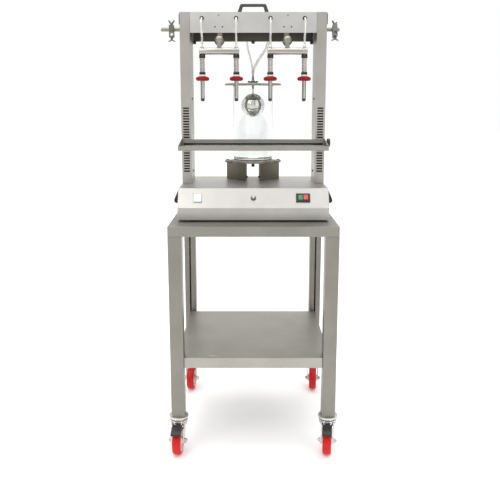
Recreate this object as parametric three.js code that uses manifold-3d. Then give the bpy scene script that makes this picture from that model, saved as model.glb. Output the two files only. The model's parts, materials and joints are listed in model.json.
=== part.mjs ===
// Four-head vacuum bottle filler on a castored trolley.
// Millimetres, +Z up, -Y is the operator's side. Heights are above the floor until the last lines,
// which put the origin at the middle of the bounding box's bottom.
import * as THREE from 'three';
import { mergeVertices } from 'three/addons/utils/BufferGeometryUtils.js';
import Module from 'manifold-3d';

const wasm = await Module();
wasm.setup();

// Driving dimensions.
const GAP = 0.3;                     // between pieces that meet
const SHEET = 2.5;                   // sheet metal thickness
const CART = { half: 300, top: 850, skirt: 36, legWidth: 48, legBottom: 138, lip: 6 };
const SHELF = { top: 366, depth: 40, halfWidth: 277.5, front: -292, back: 245 };
const CASTER = {
  wheelRadius: 50, wheelHalf: 16, trail: 30, hubHalf: 19.5, wheelBore: 6.5, axleRadius: 6,
  flangeRadius: 35, flangeBottom: 130, discRadius: 32, discBottom: 116, discTop: 124, raceRadius: 28,
  crownBottom: 106, crownRadius: 31, kingpinRadius: 6, kingpinBottom: 104, kingpinHead: 4,
  cheekInner: 20, cheekThickness: 4, nutHeight: 6,
};
const BASE = { half: 275, bottom: 855, knee: 900, top: 967, front: -198, topFront: -155, back: 265 };
const COLUMN = { inner: 238, outer: 275, front: -6, back: 134, top: 1607 };
const SLOTS = { count: 25, pitch: 10, first: 1012, width: 23, height: 6 };
const BEAM = { panelBottom: 1533, backBottom: 1514, front: -2 };
const ARM = { x: 125, pivotZ: 1501, barY: -64, barZ: 1460, barRadius: 12.5, barHalf: 73.5, pitch: 62.5 };
const NOZZLE = { tip: 1280, tubeRadius: 7.5, ringBottom: 1437, ringTop: 1447, barbTop: 1487 };
const SEAL = { bottom: 1354, top: 1386, radius: 25, boreClearance: 0.4 };
const HUB = {
  plateHalf: 22, strapHalf: 9, thickness: 3, shaftRadius: 12, discRadius: 19, discFront: -46, discBack: -38,
};
const JAR = { y: 180, radius: 80, wall: 6, bottom: 1045.3, rim: 1346 };
const LID = { halfX: 115, halfY: 88, thickness: 7.7, stemRadius: 5, boreRadius: 3, guide: 16, barbTop: 1394 };
const FLOAT = { z: 1264, radius: 48.5, wall: 1.5, rodRadius: 2.5, rodTop: 1338 };
const RING = { bottom: 1035, top: 1045, radius: 92, hole: 60, earX: 115, earY: 20, ballY: -87, ballZ: 1029 };
const STAND = { inner: 29, outer: 109, front: 88, middle: 171, back: 262, thickness: 4.2 };
const PUMP = { baseHeight: 6, motorRadius: 36, motorZ: 40, headTop: 78, portTop: 92 };
const HANDLE = { bottom: 905, front: -110, back: 10 };
const BOSS = { halfWidth: 9, halfDepth: 14, bottom: -30, top: 16, socketZ: -18, socketRadius: 6.5 };
const TRAY = { half: 274, front: -153, back: -9, top: 1116, lipTop: 1119, stopTop: 1138 };
const ROD = { y: 64, z: 1552, radius: 7, sides: 12, leftEnd: -353, rightEnd: 331, bossX: 313 };
const HOSE = { thin: 3.75, thick: 6, grommetZ: 1585, holeRadius: 5 };

// Materials.
function finish(hex, roughness, metalness) {
  return new THREE.MeshStandardMaterial({ color: hex, roughness, metalness });
}
const steel = finish(0xb9b5ac, 0.38, 0.9);
const darkSteel = finish(0x7c776c, 0.45, 0.85);
const polished = finish(0xd9d9d9, 0.12, 1);
const black = finish(0x1c1c1a, 0.5, 0);
const redRubber = finish(0xc41616, 0.35, 0);
const wheelRed = finish(0xdc3028, 0.4, 0);
const green = finish(0x4aa872, 0.35, 0);
const red = finish(0xd8564f, 0.35, 0);
const white = finish(0xebf2ec, 0.4, 0);
const softPlastic = finish(0xe6e6e2, 0.3, 0);
const glass = new THREE.MeshStandardMaterial({
  color: 0xdfeae6, roughness: 0.05, transparent: true, opacity: 0.35,
});

// Shapes. Every helper gives a closed solid whose faces point out.
const MERGE_DISTANCE = 1e-4;
const WHEEL_SIDES = 20;
const FLANGE_SIDES = 16;

function signedVolume(points, index) {
  const a = new THREE.Vector3();
  const b = new THREE.Vector3();
  const c = new THREE.Vector3();
  let volume = 0;
  for (let i = 0; i < index.length; i += 3) {
    a.fromArray(points, index[i] * 3);
    b.fromArray(points, index[i + 1] * 3);
    c.fromArray(points, index[i + 2] * 3);
    volume += a.dot(b.cross(c)) / 6;
  }
  return volume;
}

function solid(geometry) {
  geometry.deleteAttribute('normal');
  geometry.deleteAttribute('uv');
  const merged = mergeVertices(geometry, MERGE_DISTANCE);
  const points = merged.getAttribute('position').array;
  const index = [];
  for (let i = 0; i < merged.index.count; i += 3) {
    const corners = [merged.index.getX(i), merged.index.getX(i + 1), merged.index.getX(i + 2)];
    if (new Set(corners).size === 3) {
      index.push(...corners);
    }
  }
  if (signedVolume(points, index) < 0) {
    index.reverse();
  }
  const mesh = new wasm.Mesh({
    numProp: 3,
    vertProperties: new Float32Array(points),
    triVerts: new Uint32Array(index),
  });
  return new wasm.Manifold(mesh);
}

function joined(...solids) {
  return solids.reduce((whole, next) => whole.add(next));
}

function cut(body, ...tools) {
  return tools.reduce((whole, tool) => whole.subtract(tool), body);
}

function block(x0, x1, y0, y1, z0, z1) {
  const geometry = new THREE.BoxGeometry(x1 - x0, y1 - y0, z1 - z0);
  return solid(geometry.translate((x0 + x1) / 2, (y0 + y1) / 2, (z0 + z1) / 2));
}

// Turned about Z: the profile's points are [radius, z].
function turnedGeometry(profile, sides) {
  const points = profile.map(([radius, height]) => new THREE.Vector2(radius, height));
  return new THREE.LatheGeometry(points, sides).rotateX(Math.PI / 2);
}

function turned(profile, sides) {
  return solid(turnedGeometry(profile, sides));
}

// Turned about a line along X or Y: the profile's points are [radius, distance along the line].
function turnedAlong(axis, profile, sides, x, y, z) {
  const geometry = turnedGeometry(profile, sides);
  if (axis === 'x') {
    geometry.rotateY(Math.PI / 2);
  } else {
    geometry.rotateX(-Math.PI / 2);
  }
  return solid(geometry.translate(x, y, z));
}

function pin(axis, radius, start, end, sides, x = 0, y = 0, z = 0) {
  const profile = [[0, start], [radius, start], [radius, end], [0, end]];
  if (axis === 'z') {
    return solid(turnedGeometry(profile, sides).translate(x, y, z));
  }
  return turnedAlong(axis, profile, sides, x, y, z);
}

function outlineShape(points) {
  return new THREE.Shape(points.map(([u, v]) => new THREE.Vector2(u, v)));
}

function extrude(shape, depth, curveSegments = 8) {
  return new THREE.ExtrudeGeometry(shape, { depth, bevelEnabled: false, curveSegments });
}

// Outline in X and Y, from z0 up to z1.
function plan(shape, z0, z1, curveSegments) {
  return solid(extrude(shape, z1 - z0, curveSegments).translate(0, 0, z0));
}

// Outline in Y and Z, from x0 to x1.
function sideOn(shape, x0, x1, curveSegments) {
  const turn = new THREE.Matrix4().makeBasis(
    new THREE.Vector3(0, 1, 0), new THREE.Vector3(0, 0, 1), new THREE.Vector3(1, 0, 0));
  return solid(extrude(shape, x1 - x0, curveSegments).applyMatrix4(turn).translate(x0, 0, 0));
}

// Outline in X and Z, from y0 to y1.
function frontOn(shape, y0, y1, curveSegments) {
  return solid(extrude(shape, y1 - y0, curveSegments).rotateX(Math.PI / 2).translate(0, y1, 0));
}

function hose(points, radius, sides, steps) {
  const section = new THREE.Shape();
  section.absarc(0, 0, radius, 0, 2 * Math.PI);
  const path = new THREE.CatmullRomCurve3(points.map((point) => new THREE.Vector3(...point)));
  const settings = { steps, extrudePath: path, curveSegments: sides, bevelEnabled: false };
  return solid(new THREE.ExtrudeGeometry(section, settings));
}

function node(name, body, material) {
  const source = body.getMesh();
  const geometry = new THREE.BufferGeometry();
  const points = new Float32Array(source.vertProperties);
  geometry.setAttribute('position', new THREE.BufferAttribute(points, 3));
  geometry.setIndex(new THREE.BufferAttribute(new Uint32Array(source.triVerts), 1));
  geometry.computeVertexNormals();
  const mesh = new THREE.Mesh(geometry, material);
  mesh.name = name;
  return mesh;
}

// Trolley.
function cartTop() {
  const half = CART.half;
  const outer = block(-half, half, -half, half, CART.top - CART.skirt, CART.top);
  const inside = half - 3;
  return cut(outer, block(-inside, inside, -inside, inside, CART.top - CART.skirt - 1, CART.top - 3));
}

function cartShelf() {
  const clear = CART.half - CART.legWidth - GAP;
  const rim = SHELF.top - SHELF.depth;
  const { halfWidth: w, front, back, top } = SHELF;
  const outline = outlineShape([
    [-clear, front], [clear, front], [clear, -clear], [w, -clear],
    [w, back], [-w, back], [-w, -clear], [-clear, -clear],
  ]);
  const slab = plan(outline, rim, top);
  const hollow = joined(
    block(-w + SHEET, w - SHEET, -clear + SHEET, back - SHEET, rim - 1, top - SHEET),
    block(-clear + SHEET, clear - SHEET, front + SHEET, 0, rim - 1, top - SHEET),
  );
  const slots = [-147, 25].map((x) => block(x - 14, x + 14, front + 22, front + 27, top - 5, top + 1));
  return cut(slab, hollow, ...slots);
}

// Folded channel with its open slot towards +Y, a fixing collar above and the caster's flange below.
function leg() {
  const w = CART.legWidth / 2;
  const inner = w - SHEET;
  const slot = CART.lip / 2;
  const section = outlineShape([
    [-slot, w], [-w, w], [-w, -w], [w, -w], [w, w], [slot, w],
    [slot, inner], [inner, inner], [inner, -inner], [-inner, -inner], [-inner, inner], [-slot, inner],
  ]);
  const skirtBottom = CART.top - CART.skirt;
  const collar = w - 3 - GAP;
  const { kingpinRadius, kingpinBottom, kingpinHead, flangeRadius, flangeBottom } = CASTER;
  const headTop = kingpinBottom + kingpinHead;
  const kingpin = [
    [0, kingpinBottom], [kingpinRadius + 4, kingpinBottom], [kingpinRadius + 4, headTop],
    [kingpinRadius, headTop], [kingpinRadius, flangeBottom], [flangeRadius, flangeBottom],
    [flangeRadius, CART.legBottom], [0, CART.legBottom],
  ];
  return joined(
    plan(section, CART.legBottom - 1, skirtBottom - GAP),
    block(-w, w, -w, w, skirtBottom - 4, skirtBottom - GAP),
    cut(
      block(-collar, collar, -collar, collar, skirtBottom - 1, CART.top - 3 - GAP),
      block(3 - collar, collar - 3, 3 - collar, collar - 3, skirtBottom, CART.top),
    ),
    turned(kingpin, FLANGE_SIDES),
  );
}

// The fork hangs on the Z axis, with its wheel towards -Y.
function fork() {
  const { trail, wheelRadius, cheekInner, cheekThickness, nutHeight, axleRadius } = CASTER;
  const { discRadius, discBottom, discTop, raceRadius, kingpinRadius, flangeBottom } = CASTER;
  const { crownBottom, crownRadius } = CASTER;
  const cheekTop = (discBottom + discTop) / 2;
  const endRadius = 14;
  const cheek = outlineShape([[26, cheekTop], [-28, cheekTop], [-trail - endRadius, wheelRadius]]);
  cheek.absarc(-trail, wheelRadius, endRadius, Math.PI, 2 * Math.PI);
  const outer = cheekInner + cheekThickness;
  const cheeks = [-outer, cheekInner].map((x) => sideOn(cheek, x, x + cheekThickness, 5));
  const nuts = [-outer - nutHeight, outer].map(
    (x) => pin('x', axleRadius + 3, x, x + nutHeight, 6, 0, -trail, wheelRadius));
  const bore = kingpinRadius + 0.5;
  const raceTop = flangeBottom - GAP;
  const head = [
    [bore, discBottom], [crownRadius - 4, discBottom], [crownRadius - 3, crownBottom],
    [crownRadius, crownBottom], [discRadius, discBottom], [discRadius, discTop], [raceRadius, discTop],
    [raceRadius, raceTop], [bore, raceTop], [bore, discBottom],
  ];
  return joined(
    turned(head, FLANGE_SIDES),
    ...cheeks,
    pin('x', axleRadius, -outer - 1, outer + 1, 12, 0, -trail, wheelRadius),
    ...nuts,
  );
}

function wheel() {
  const { wheelRadius: r, wheelHalf: half, hubHalf, wheelBore } = CASTER;
  const chamfer = 4;
  const halfProfile = [
    [wheelBore, hubHalf], [14, hubHalf], [17, half - 3],
    [r - 10, half], [r - chamfer, half], [r, half - chamfer],
  ];
  const otherHalf = halfProfile.map(([radius, x]) => [radius, -x]).reverse();
  return turnedAlong('x', [...halfProfile, ...otherHalf, halfProfile[0]], WHEEL_SIDES, 0, 0, 0);
}

function brakePedal() {
  const outline = outlineShape([
    [-35, 105], [-35, 114], [-56, 114], [-74, 109], [-85, 102], [-87, 96],
    [-82, 94], [-70, 100], [-54, 105],
  ]);
  return sideOn(outline, -18, 18);
}

function caster(name, x, y, swivel, withPedal) {
  const group = new THREE.Group();
  group.position.set(x, y, 0);
  group.rotation.z = swivel;
  group.add(node(`caster_fork_${name}`, fork(), polished));
  const wheelNode = node(`caster_wheel_${name}`, wheel(), wheelRed);
  wheelNode.position.set(0, -CASTER.trail, CASTER.wheelRadius);
  group.add(wheelNode);
  if (withPedal) {
    group.add(node(`brake_pedal_${name}`, brakePedal(), black));
  }
  return group;
}

function trolley() {
  const group = new THREE.Group();
  group.add(node('cart_top', cartTop(), steel));
  group.add(node('cart_shelf', cartShelf(), steel));
  const centre = CART.half - CART.legWidth / 2;
  const corners = [
    { name: 'front_left', x: -1, y: -1, swivelDeg: -3 },
    { name: 'front_right', x: 1, y: -1, swivelDeg: -8 },
    { name: 'rear_left', x: -1, y: 1, swivelDeg: -4 },
    { name: 'rear_right', x: 1, y: 1, swivelDeg: -6 },
  ];
  for (const { name, x, y, swivelDeg } of corners) {
    const post = node(`cart_leg_${name}`, leg(), steel);
    post.position.set(x * centre, y * centre, 0);
    post.rotation.z = y > 0 ? Math.PI : 0;
    group.add(post);
    group.add(caster(name, x * centre, y * centre, THREE.MathUtils.degToRad(swivelDeg), y < 0));
  }
  return group;
}

// Base unit: its controls stand on the slanted panel.
const PANEL_RUN = BASE.topFront - BASE.front;
const PANEL_RISE = BASE.top - BASE.knee;
const PANEL_TILT = Math.atan2(PANEL_RISE, PANEL_RUN);
const CONTROLS = {
  rockerX: -203, switchX: 181, buttonX: 9.5, buttonHalfX: 8.2, buttonHalfY: 9.8, pocketDepth: 14,
};

function placedOnPanel(object) {
  object.rotation.x = PANEL_TILT;
  object.position.set(0, BASE.front + PANEL_RUN / 2, BASE.knee + PANEL_RISE / 2);
  object.updateMatrixWorld(true);
  return object;
}

function turnedOntoPanel(body) {
  return body.transform(placedOnPanel(new THREE.Object3D()).matrixWorld.elements);
}

function baseHousing() {
  const { half, bottom, knee, top, front, topFront, back } = BASE;
  const outer = outlineShape([[front, bottom], [front, knee], [topFront, top], [back, top], [back, bottom]]);
  const shift = SHEET * Math.tan((Math.PI / 2 - PANEL_TILT) / 2);
  const inner = outlineShape([
    [front + SHEET, bottom - 1], [front + SHEET, knee - shift],
    [topFront + SHEET * Math.tan(PANEL_TILT / 2), top - SHEET],
    [back - SHEET, top - SHEET], [back - SHEET, bottom - 1],
  ]);
  const holes = [
    block(CONTROLS.rockerX - 14.5, CONTROLS.rockerX + 14.5, -17, 17, -8, 8),
    block(CONTROLS.switchX - 22.5, CONTROLS.switchX + 22.5, -14.5, 14.5, -8, 8),
    pin('z', 3.5, -8, 8, 12),
  ];
  return cut(
    sideOn(outer, -half, half),
    sideOn(inner, -half + SHEET, half - SHEET),
    ...holes.map(turnedOntoPanel),
  );
}

function basePan() {
  const inset = SHEET + GAP;
  const { half, front, back, bottom } = BASE;
  const plate = block(-half + inset, half - inset, front + inset, back - inset, bottom, bottom + SHEET);
  const feet = [[-1, -165], [1, -165], [-1, 230], [1, 230]].map(
    ([side, y]) => pin('z', 18, CART.top + GAP, bottom + 1, 16, side * 240, y));
  return joined(plate, ...feet);
}

function vacuumPump() {
  const floor = BASE.bottom + SHEET + GAP;
  const middleY = 80;
  const plate = { left: -110, right: 90, halfDepth: 60 };
  const head = { left: 20, right: 80, halfDepth: 40 };
  return joined(
    block(plate.left, plate.right, middleY - plate.halfDepth, middleY + plate.halfDepth,
      floor, floor + PUMP.baseHeight),
    pin('x', PUMP.motorRadius, plate.left + 10, head.left, 20, 0, middleY, floor + PUMP.motorZ),
    block(head.left, head.right, middleY - head.halfDepth, middleY + head.halfDepth,
      floor + PUMP.baseHeight - 1, floor + PUMP.headTop),
    pin('z', 7, floor + PUMP.headTop - 8, floor + PUMP.portTop, 10, (head.left + head.right) / 2, middleY),
  );
}

function sideHandle(side) {
  const x = BASE.half + GAP;
  const section = [
    [0, 0], [14, 0], [20.5, 4], [21.7, 10], [20, 17], [6, 49], [0, 49],
  ].map(([out, up]) => [side * (x + out), HANDLE.bottom + up]);
  return frontOn(outlineShape(section), HANDLE.front, HANDLE.back);
}

function switchBody() {
  const halfX = CONTROLS.buttonHalfX + GAP;
  const halfY = CONTROLS.buttonHalfY + GAP;
  const pockets = [-CONTROLS.buttonX, CONTROLS.buttonX].map(
    (x) => block(x - halfX, x + halfX, -halfY, halfY, 5 - CONTROLS.pocketDepth, 6));
  const body = joined(
    block(-25.5, 25.5, -17, 17, GAP, 5),
    block(-22, 22, -14, 14, -24, 1),
  );
  return cut(body, ...pockets).translate([CONTROLS.switchX, 0, 0]);
}

function pushButton(side, height) {
  const { switchX, buttonX, buttonHalfX, buttonHalfY } = CONTROLS;
  const x = switchX + side * buttonX;
  return block(x - buttonHalfX, x + buttonHalfX, -buttonHalfY, buttonHalfY, -4, height);
}

function rockerSwitch() {
  const slope = outlineShape([[-16.5, -6], [16.5, -6], [16.5, 3], [-16.5, 6.5]]);
  return sideOn(slope, CONTROLS.rockerX - 14, CONTROLS.rockerX + 14);
}

function controlKnob() {
  return turned([
    [0, -10], [3, -10], [3, 1], [7.3, 1], [7.3, 9], [6.3, 11.6], [3.8, 13.4], [0, 14],
  ], 20);
}

function baseUnit() {
  const group = new THREE.Group();
  group.add(node('base_housing', baseHousing(), steel));
  group.add(node('base_pan', basePan(), darkSteel));
  group.add(node('vacuum_pump', vacuumPump(), darkSteel));
  group.add(node('side_handle_left', sideHandle(-1), black));
  group.add(node('side_handle_right', sideHandle(1), black));
  const controls = placedOnPanel(new THREE.Group());
  controls.add(node('rocker_switch', rockerSwitch(), white));
  controls.add(node('control_knob', controlKnob(), polished));
  controls.add(node('switch_body', switchBody(), black));
  controls.add(node('start_button', pushButton(-1, 7), green));
  controls.add(node('stop_button', pushButton(1, 9), red));
  group.add(controls);
  return group;
}

// Portal frame.
function column(side) {
  const { inner, outer, front, back, top } = COLUMN;
  const middle = (inner + outer) / 2;
  const x0 = -(outer - inner) / 2;
  const bottom = BASE.top + GAP;
  const shell = cut(
    block(x0, -x0, front, back, bottom, top),
    block(x0 + SHEET, -x0 - SHEET, front + SHEET, back - SHEET, bottom - 1, top - SHEET),
  );
  const slots = [];
  for (let i = 0; i < SLOTS.count; i += 1) {
    const z = SLOTS.first + i * SLOTS.pitch;
    slots.push(block(-SLOTS.width / 2, SLOTS.width / 2, front - 1, front + SHEET + 1, z, z + SLOTS.height));
  }
  const rodEnd = side < 0 ? ROD.leftEnd : ROD.rightEnd;
  const reach = Math.abs(rodEnd) - middle;
  const start = -x0 - 1;
  const [near, far] = side < 0 ? [-reach, -start] : [start, reach];
  const rod = pin('x', ROD.radius, near, far, ROD.sides, 0, ROD.y, ROD.z);
  return joined(cut(shell, ...slots), rod).translate([side * middle, 0, 0]);
}

function crossbeam() {
  const { inner, back, top } = COLUMN;
  const end = inner - GAP;
  const beam = joined(
    block(-end, end, BEAM.front, BEAM.front + SHEET, BEAM.panelBottom, top),
    block(-end, end, BEAM.front, back, top - SHEET, top),
    block(-end, end, back - SHEET, back, BEAM.backBottom, top),
  );
  const frontHoles = [-1, 1].flatMap((side) => [64, 192].map(
    (x) => pin('y', HOSE.holeRadius, -10, 10, 12, side * x, 0, HOSE.grommetZ)));
  return cut(beam, ...frontHoles);
}

function carryHandle() {
  const half = [
    [44, 38], [50, 35], [53, 26], [58, 6], [60, 3], [60, 0], [45, 0], [44, 12], [42, 28], [38, 31],
  ];
  const mirrored = half.map(([x, z]) => [-x, z]).reverse();
  const outline = outlineShape([...half, ...mirrored]);
  return frontOn(outline, ROD.y - 10, ROD.y + 10).translate([0, 0, COLUMN.top + GAP]);
}

// Double clamp on a side rod: the rod runs along X through its middle, the free socket along Y below it.
function bosshead() {
  const { halfWidth: w, halfDepth: d, bottom, top, socketZ, socketRadius } = BOSS;
  const wings = outlineShape([
    [-4, -33], [-4, -38], [-14, -43], [-12, -46], [0, -41], [12, -46], [14, -43], [4, -38], [4, -33],
  ]);
  return joined(
    cut(
      block(-w, w, -d, d, bottom, top),
      pin('x', ROD.radius + GAP, -w - 1, w + 1, ROD.sides),
      pin('y', socketRadius, -d - 1, d + 1, ROD.sides, 0, 0, socketZ),
      pin('z', 3.5, 0, top + 1, ROD.sides),
    ),
    pin('z', 4, bottom - 4, bottom + 1, 10),
    frontOn(wings, -2, 2),
  );
}

function wingScrew() {
  const wings = outlineShape([[-4, 18], [-13, 32], [-9, 35], [0, 24], [9, 35], [13, 32], [4, 18]]);
  return joined(
    pin('z', 3, ROD.radius + 0.8, BOSS.top + 2, 10),
    pin('z', 5, BOSS.top + GAP, BOSS.top + 6, 10),
    frontOn(wings, -2, 2),
  );
}

function sideClamp(name, side, turn, screwTurn) {
  const group = new THREE.Group();
  group.position.set(side * ROD.bossX, ROD.y, ROD.z);
  group.rotation.x = turn;
  group.add(node(`bosshead_${name}`, bosshead(), darkSteel));
  const screw = node(`wing_screw_${name}`, wingScrew(), darkSteel);
  screw.rotation.z = screwTurn;
  group.add(screw);
  return group;
}

function portal() {
  const group = new THREE.Group();
  group.add(node('column_left', column(-1), steel));
  group.add(node('column_right', column(1), steel));
  group.add(node('crossbeam', crossbeam(), steel));
  group.add(node('carry_handle', carryHandle(), black));
  group.add(sideClamp('left', -1, 0, 0));
  group.add(sideClamp('right', 1, THREE.MathUtils.degToRad(-20), THREE.MathUtils.degToRad(35)));
  return group;
}

// Filling heads.
function armHub() {
  const { pivotZ } = ARM;
  const { plateHalf, strapHalf, thickness, shaftRadius, discRadius, discFront, discBack } = HUB;
  const face = BEAM.front + SHEET + GAP;
  const plateBottom = BEAM.panelBottom + 3;
  return joined(
    block(-plateHalf, plateHalf, face, face + thickness, plateBottom, pivotZ + 67),
    block(-strapHalf, strapHalf, face, face + thickness, pivotZ - shaftRadius, plateBottom + 1),
    pin('y', shaftRadius, discFront, face + 1, 20, 0, 0, pivotZ),
    pin('y', discRadius, discFront, discBack, 24, 0, 0, pivotZ),
  );
}

function nozzleBar() {
  const { pivotZ, barY, barZ, barRadius, barHalf, pitch } = ARM;
  const domeBack = HUB.discFront - GAP;
  const dome = [[0, -66], [8, -65], [13, -61.5], [15.5, -57], [15.5, domeBack], [0, domeBack]];
  const stemHole = 5.1;
  const bar = [
    [0, -barHalf], [barRadius - 1.5, -barHalf], [barRadius, 1.5 - barHalf],
    [barRadius, barHalf - 1.5], [barRadius - 1.5, barHalf], [0, barHalf],
  ];
  return cut(
    joined(
      turnedAlong('y', dome, FLANGE_SIDES, 0, 0, pivotZ),
      block(-8, 8, -64, -50, barZ, pivotZ),
      turnedAlong('x', bar, FLANGE_SIDES, 0, barY, barZ),
    ),
    pin('z', stemHole, barZ - 20, barZ + 20, 12, -pitch, barY),
    pin('z', stemHole, barZ - 20, barZ + 20, 12, pitch, barY),
  );
}

function nozzle() {
  const { tip, tubeRadius: r, ringBottom, ringTop, barbTop } = NOZZLE;
  const aboveBar = ARM.barZ + ARM.barRadius + 0.8;
  return turned([
    [0, tip], [4, tip + 0.6], [6.6, tip + 3], [r, tip + 7], [r, ringBottom], [11.5, ringBottom],
    [11.5, ringTop], [4.7, ringTop], [4.7, aboveBar], [6.5, aboveBar], [6.5, aboveBar + 3],
    [3, aboveBar + 3], [4, aboveBar + 6], [2.8, aboveBar + 9], [2.6, barbTop], [0, barbTop],
  ], 10);
}

function seal() {
  const bore = NOZZLE.tubeRadius + SEAL.boreClearance;
  const { bottom, top, radius: r } = SEAL;
  return turned([
    [bore, bottom], [16, bottom], [22, bottom + 3.5], [r, bottom + 8.5], [r, bottom + 11.5],
    [20, bottom + 15], [11.5, bottom + 16.5], [10, bottom + 22], [11, bottom + 25], [11, top],
    [bore, top], [bore, bottom],
  ], FLANGE_SIDES);
}

function fillHose(grommetX, nozzleX) {
  return hose([
    [grommetX, 5, HOSE.grommetZ], [grommetX, -6, HOSE.grommetZ], [grommetX, -22, HOSE.grommetZ - 4],
    [grommetX, -44, HOSE.grommetZ - 22], [(grommetX + nozzleX) / 2, -58, HOSE.grommetZ - 52],
    [nozzleX, ARM.barY, NOZZLE.barbTop + 22], [nozzleX, ARM.barY, NOZZLE.barbTop + GAP],
  ], HOSE.thin, 2, 16);
}

function fillingHeads() {
  const group = new THREE.Group();
  let number = 1;
  for (const [name, side] of [['left', -1], ['right', 1]]) {
    const x = side * ARM.x;
    const hub = node(`arm_hub_${name}`, armHub(), darkSteel);
    hub.position.x = x;
    const bar = node(`nozzle_bar_${name}`, nozzleBar(), steel);
    bar.position.x = x;
    group.add(hub, bar);
    for (const offset of [-ARM.pitch, ARM.pitch]) {
      const nozzleX = x + offset;
      const tube = node(`nozzle_${number}`, nozzle(), polished);
      tube.position.set(nozzleX, ARM.barY, 0);
      const ring = node(`nozzle_seal_${number}`, seal(), redRubber);
      ring.position.set(nozzleX, ARM.barY, 0);
      const grommetX = Math.sign(nozzleX) * (Math.abs(nozzleX) < ARM.x ? 64 : 192);
      group.add(tube, ring, node(`fill_hose_${number}`, fillHose(grommetX, nozzleX), softPlastic));
      number += 1;
    }
  }
  return group;
}

// Overflow jar.
function jarBody() {
  const { radius: r, wall, bottom, rim } = JAR;
  return turned([
    [0, bottom], [r - 8, bottom], [r - 2, bottom + 4], [r, bottom + 10], [r, rim],
    [r - wall, rim], [r - wall, bottom + 14], [r - wall - 4, bottom + 9], [0, bottom + 8],
  ], 28);
}

function jarLid() {
  const { halfX, halfY, thickness, stemRadius, boreRadius, guide, barbTop } = LID;
  const oval = new THREE.Shape();
  oval.absellipse(0, 0, halfX, halfY, 0, 2 * Math.PI);
  const bottom = JAR.rim + GAP;
  const stemTop = barbTop - 20;
  const barb = [
    [0, stemTop - 1], [4.6, stemTop - 1], [4.6, stemTop + 6], [3, stemTop + 8],
    [4, stemTop + 13], [2.8, stemTop + 15], [2.8, barbTop], [0, barbTop],
  ];
  return cut(
    joined(
      plan(oval, bottom, bottom + thickness, 14),
      pin('z', stemRadius, bottom - guide, stemTop + 2, 12),
      turned(barb, 12),
    ),
    pin('z', boreRadius, bottom - guide - 1, stemTop - 4, 12),
  );
}

function lidKnob() {
  const wings = outlineShape([
    [-7, 0], [-16, 2], [-22, 8], [-18, 11], [-6, 7], [6, 7], [18, 11], [22, 8], [16, 2], [7, 0],
  ]);
  return cut(
    joined(pin('z', 9, 0, 9, 16), frontOn(wings, -4, 4)),
    pin('z', LID.stemRadius + 0.5, -2, 14, 12),
  ).translate([0, 0, JAR.rim + LID.thickness + 2 * GAP]);
}

function floatBall() {
  const { z, radius, wall, rodRadius, rodTop } = FLOAT;
  const vent = 2;
  const profile = [[0, rodTop], [rodRadius, rodTop]];
  const steps = 7;
  const arc = (r, from, to) => {
    for (let i = 0; i <= steps; i += 1) {
      const angle = from + (to - from) * i / steps;
      profile.push([r * Math.cos(angle), z + r * Math.sin(angle)]);
    }
  };
  const inner = radius - wall;
  arc(radius, Math.acos(rodRadius / radius), -Math.acos(vent / radius));
  arc(inner, -Math.acos(vent / inner), Math.PI / 2 - 0.05);
  profile.push([0, z + inner]);
  return turned(profile, FLANGE_SIDES);
}

function jarRing() {
  const { bottom, top, radius, hole: holeRadius, earX, earY, ballY, ballZ } = RING;
  const plate = new THREE.Shape();
  plate.absarc(0, 0, radius, 0, 2 * Math.PI);
  const hole = new THREE.Path();
  hole.absarc(0, 0, holeRadius, 0, 2 * Math.PI, true);
  plate.holes.push(hole);
  const knob = [];
  const knobRadius = 7;
  const knobSteps = 6;
  for (let i = 0; i <= knobSteps; i += 1) {
    const angle = -Math.PI / 2 + (Math.PI - 0.5) * i / knobSteps;
    knob.push([knobRadius * Math.cos(angle), ballZ + knobRadius * Math.sin(angle)]);
  }
  knob[0][0] = 0;
  const ball = turnedGeometry([...knob, [3, bottom + 1], [0, bottom + 1]], 12).translate(0, ballY, 0);
  return joined(
    plan(plate, bottom, top, 10),
    block(-earX, -JAR.radius, -earY, earY, bottom, top),
    block(JAR.radius, earX, -earY, earY, bottom, top),
    solid(ball),
  );
}

function jarStand(side) {
  const { inner, outer, front, middle, back, thickness } = STAND;
  const spine = [[inner, front], [outer, middle], [inner, back]];
  const inside = spine.map(([x, y]) => [x - thickness, y]).reverse();
  const outline = [...spine, ...inside].map(([x, y]) => [side * x, y]);
  return plan(outlineShape(outline), BASE.top + GAP, RING.bottom - GAP);
}

function vacuumHose() {
  const top = LID.barbTop + GAP;
  const { y } = JAR;
  const back = COLUMN.back + GAP;
  return joined(
    hose([
      [0, y, top], [0, y, top + 8], [-2, y, top + 20], [-8, y - 2, top + 50], [-20, y - 8, top + 95],
      [-24, y - 14, top + 125], [-24, y - 28, top + 148], [-24, y - 36, top + 150], [-24, back, top + 150],
    ], HOSE.thin, 2, 18),
    hose([
      [0, y, top], [0, y, top + 8], [4, y, top + 20], [20, y - 2, top + 50], [50, y - 8, top + 95],
      [61, y - 13, top + 125], [61, y - 26, top + 150], [61, y - 36, top + 155], [61, back, top + 155],
    ], HOSE.thick, 2, 18),
  );
}

function overflowJar() {
  const group = new THREE.Group();
  const onAxis = [
    node('jar', jarBody(), glass),
    node('jar_lid', jarLid(), steel),
    node('lid_knob', lidKnob(), black),
    node('float', floatBall(), polished),
    node('jar_ring', jarRing(), darkSteel),
  ];
  for (const mesh of onAxis) {
    mesh.position.y = JAR.y;
    group.add(mesh);
  }
  group.add(node('jar_stand_left', jarStand(-1), darkSteel));
  group.add(node('jar_stand_right', jarStand(1), darkSteel));
  group.add(node('vacuum_hose', vacuumHose(), softPlastic));
  return group;
}

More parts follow.
